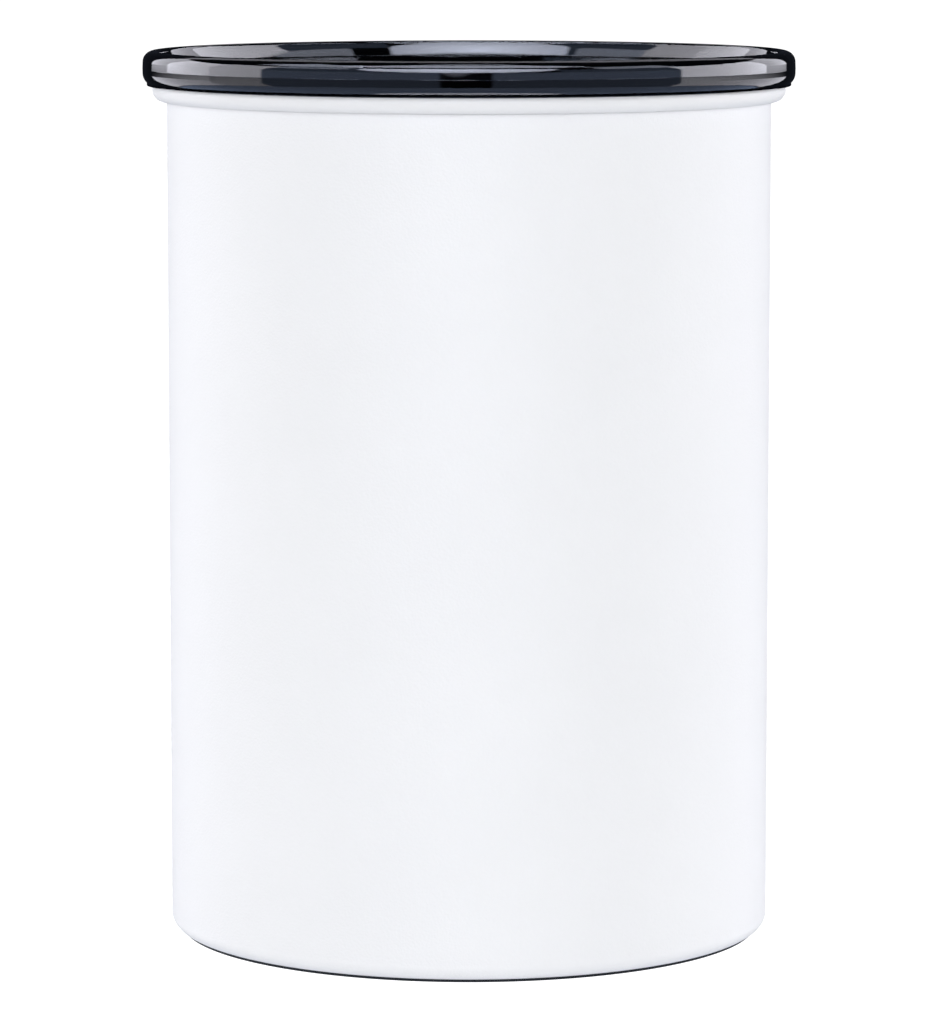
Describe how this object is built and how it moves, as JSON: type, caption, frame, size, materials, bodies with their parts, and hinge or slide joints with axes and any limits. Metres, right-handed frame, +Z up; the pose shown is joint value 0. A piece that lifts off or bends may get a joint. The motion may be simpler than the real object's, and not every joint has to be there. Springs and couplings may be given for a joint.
{
  "type": "coffee canister with valve",
  "caption": "Round steel coffee canister with a loose smoked outer lid and a sliding inner lid whose bail handle opens an air valve.",
  "frame": {"origin": "centre of the base, on the surface it stands on", "axes": "+Z up along the can's axis; the folded handle points along -Y"},
  "size_m": [0.1302, 0.1302, 0.177],
  "materials": {
    "coated_steel": "satin white powder coat on drawn steel",
    "smoked_plastic": "glossy smoked clear plastic",
    "grey_plastic": "fine matt moulded plastic",
    "silicone": "soft satin silicone",
    "bare_steel": "bright drawn stainless steel",
    "white_plastic": "smooth natural acetal"
  },
  "bodies": {
    "canister": {"canister_shell": "coated_steel"},
    "outer_lid": {"outer_lid": "smoked_plastic"},
    "inner_lid": {"inner_lid_plate": "grey_plastic", "wiper_gasket": "silicone", "gasket_retainer": "grey_plastic", "retainer_screws": "bare_steel", "valve_cap": "grey_plastic", "valve_spring": "bare_steel"},
    "handle": {"lift_handle": "grey_plastic", "hinge_shaft": "bare_steel", "valve_cams": "white_plastic"},
    "valve": {"valve_stem": "white_plastic", "valve_seal": "silicone"}
  },
  "joints": [
    {"name": "outer_lid_lift", "type": "slide", "parent": "canister", "child": "outer_lid", "axis": [0, 0, 1], "range_m": [0, 0.12]},
    {"name": "inner_lid_travel", "type": "slide", "parent": "canister", "child": "inner_lid", "axis": [0, 0, 1], "range_m": [-0.105, 0]},
    {"name": "handle_fold", "type": "hinge", "parent": "inner_lid", "child": "handle", "pos_m": [0, 0, 0.1225], "axis": [-1, 0, 0], "range_deg": [0, 90]},
    {"name": "valve_lift", "type": "slide", "parent": "inner_lid", "child": "valve", "axis": [0, 0, 1], "range_m": [0, 0.0025], "deforming": ["valve_spring"]}
  ],
  "couplings": [
    {"joint": "valve_lift", "follows": "handle_fold", "m_per_rad": 0.0015915}
  ]
}
